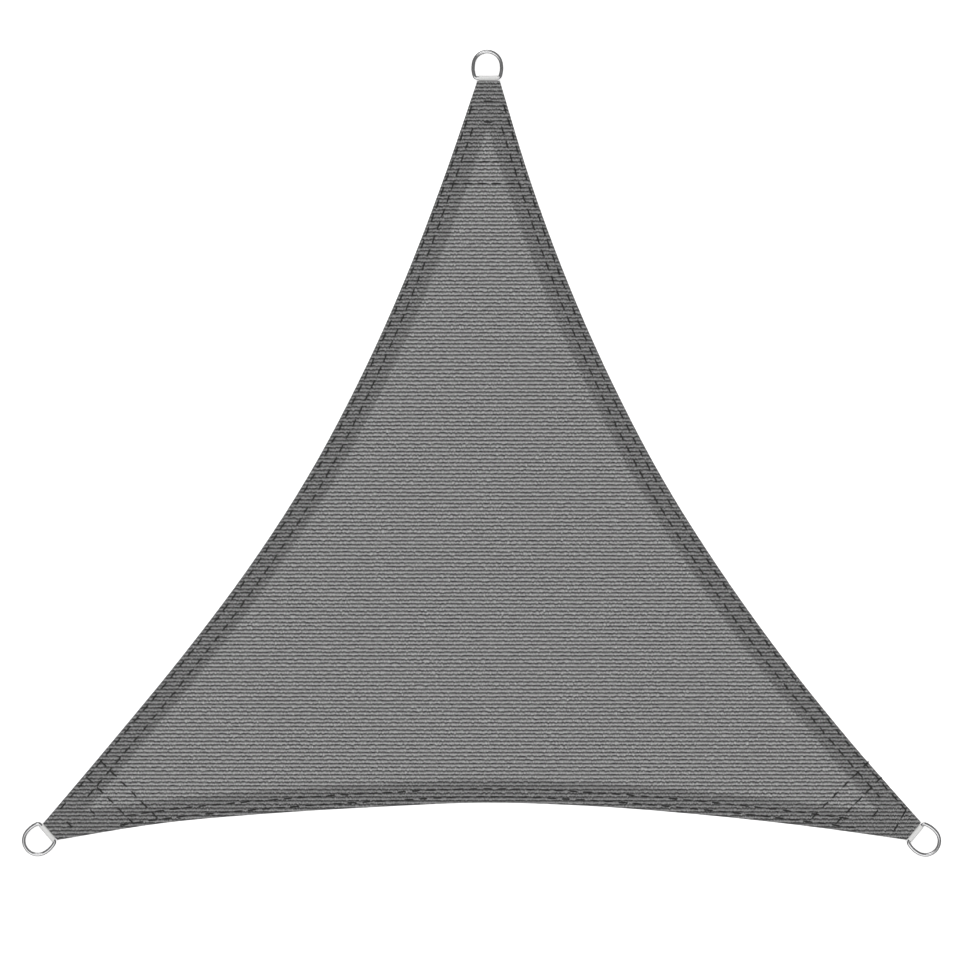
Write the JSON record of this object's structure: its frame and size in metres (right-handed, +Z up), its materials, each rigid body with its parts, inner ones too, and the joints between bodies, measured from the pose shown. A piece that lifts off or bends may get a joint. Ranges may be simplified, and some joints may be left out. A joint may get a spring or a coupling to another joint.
{
  "type": "triangular shade sail",
  "caption": "Triangular shade sail of ribbed knitted cloth with hollow hemmed edges and a strapped steel D-ring at each blunt corner, lying flat.",
  "frame": {"origin": "middle of the overall box, on the ground that the sail lies on", "axes": "+X to the right along the longest side of the box, +Y towards the top corner, +Z up out of the cloth's front face"},
  "size_m": [1.9975, 1.7534, 0.0107],
  "materials": {
    "knitted_cloth": "matt ribbed knit, mid grey",
    "woven_strap": "matt plain weave, pale grey",
    "polished_steel": "polished round wire"
  },
  "bodies": {
    "root": {"sail_cloth": "knitted_cloth", "strap_top": "woven_strap", "strap_left": "woven_strap", "strap_right": "woven_strap", "ring_top": "polished_steel", "ring_left": "polished_steel", "ring_right": "polished_steel"}
  },
  "joints": []
}
